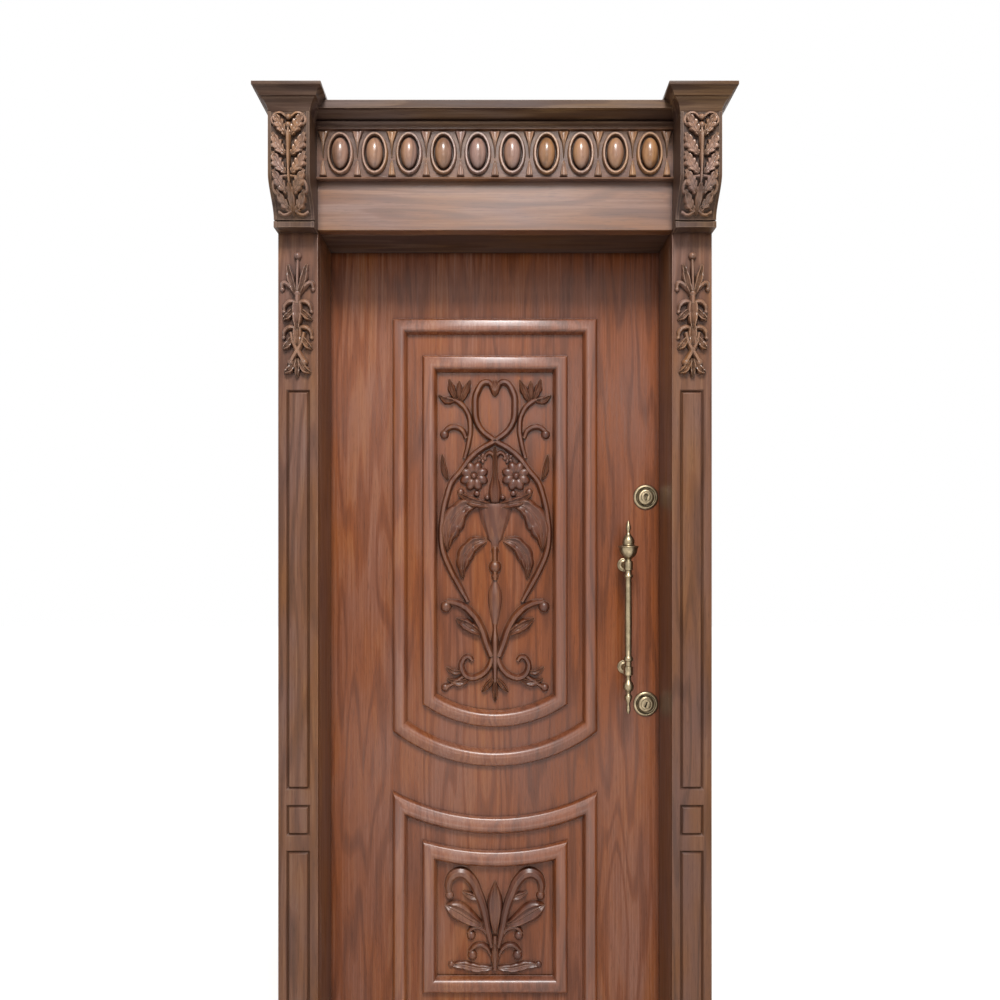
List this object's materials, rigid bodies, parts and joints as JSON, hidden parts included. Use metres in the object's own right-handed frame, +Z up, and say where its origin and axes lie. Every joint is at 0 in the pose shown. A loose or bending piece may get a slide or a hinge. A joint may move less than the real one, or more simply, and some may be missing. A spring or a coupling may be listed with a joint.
{
  "type": "entrance door set",
  "caption": "Carved timber entrance door in its frame, with pilasters, consoles, an egg frieze and scroll-carved panels; a brass pull handle and locks on a leaf that swings inward.",
  "frame": {"origin": "on the floor, midway across the doorway and midway through the frame's depth", "axes": "+X to the right as seen from outside, +Y into the house, +Z up"},
  "size_m": [1.064, 0.419, 2.404],
  "materials": {
    "leaf_wood": "satin lacquer",
    "frame_wood": "satin lacquer",
    "antique_brass": "antiqued",
    "steel": "brushed",
    "rubber": "matt"
  },
  "bodies": {
    "frame": {"left_jamb": "frame_wood", "right_jamb": "frame_wood", "head_jamb": "frame_wood", "threshold": "frame_wood", "frame_seal": "rubber", "left_pilaster": "frame_wood", "right_pilaster": "frame_wood", "left_drop_carving": "frame_wood", "right_drop_carving": "frame_wood", "left_console": "frame_wood", "right_console": "frame_wood", "left_cap": "frame_wood", "right_cap": "frame_wood", "head_board": "frame_wood", "egg_frieze": "frame_wood", "cornice": "frame_wood", "upper_strike_plate": "steel", "lower_strike_plate": "steel", "bottom_hinge_frame_leaf": "steel", "middle_hinge_frame_leaf": "steel", "top_hinge_frame_leaf": "steel", "hinge_pins": "steel"},
    "door_leaf": {"bottom_hinge_door_leaf": "steel", "middle_hinge_door_leaf": "steel", "top_hinge_door_leaf": "steel", "leaf_core": "leaf_wood", "front_panel": "leaf_wood", "back_panel": "leaf_wood", "bottom_seal": "rubber", "upper_outer_moulding": "leaf_wood", "upper_inner_moulding": "leaf_wood", "upper_carved_panel": "leaf_wood", "lower_outer_moulding": "leaf_wood", "lower_inner_moulding": "leaf_wood", "lower_carved_panel": "leaf_wood", "upper_escutcheon": "antique_brass", "lower_escutcheon": "antique_brass", "upper_inner_rose": "antique_brass", "lower_inner_rose": "antique_brass", "upper_lock_cylinder": "antique_brass", "lower_lock_cylinder": "antique_brass", "upper_lock_case": "steel", "lower_lock_case": "steel", "pull_bar": "antique_brass", "pull_top_finial": "antique_brass", "pull_bottom_finial": "antique_brass", "pull_upper_post": "antique_brass", "pull_lower_post": "antique_brass", "inner_pull_bar": "antique_brass", "inner_pull_upper_post": "antique_brass", "inner_pull_lower_post": "antique_brass", "pull_bolts": "steel"},
    "upper_turn": {"upper_key_plug": "antique_brass", "upper_thumb_turn": "antique_brass"},
    "lower_turn": {"lower_key_plug": "antique_brass", "lower_thumb_turn": "antique_brass"},
    "upper_bolt_set": {"upper_deadbolts": "steel"},
    "lower_bolt_set": {"lower_deadbolts": "steel"},
    "latch": {"roller_latch": "steel"}
  },
  "joints": [
    {"name": "door_swing", "type": "hinge", "parent": "frame", "child": "door_leaf", "pos_m": [-0.4225, 0.1085, 1.0805], "axis": [0, 0, 1], "range_deg": [0, 110]},
    {"name": "upper_key_turn", "type": "hinge", "parent": "door_leaf", "child": "upper_turn", "pos_m": [0.377, 0.066, 1.51], "axis": [0, 1, 0], "range_deg": [0, 360]},
    {"name": "lower_key_turn", "type": "hinge", "parent": "door_leaf", "child": "lower_turn", "pos_m": [0.377, 0.066, 0.993], "axis": [0, 1, 0], "range_deg": [0, 360]},
    {"name": "upper_bolt_throw", "type": "slide", "parent": "door_leaf", "child": "upper_bolt_set", "axis": [1, 0, 0], "range_m": [0, 0.02]},
    {"name": "lower_bolt_throw", "type": "slide", "parent": "door_leaf", "child": "lower_bolt_set", "axis": [1, 0, 0], "range_m": [0, 0.02]},
    {"name": "latch_press", "type": "slide", "parent": "door_leaf", "child": "latch", "axis": [1, 0, 0], "range_m": [-0.003, 0], "stiffness_N_per_m": 500, "springref_m": 0.002}
  ],
  "couplings": [
    {"joint": "upper_key_turn", "follows": "upper_bolt_throw", "rad_per_m": 314},
    {"joint": "lower_key_turn", "follows": "lower_bolt_throw", "rad_per_m": 314}
  ]
}
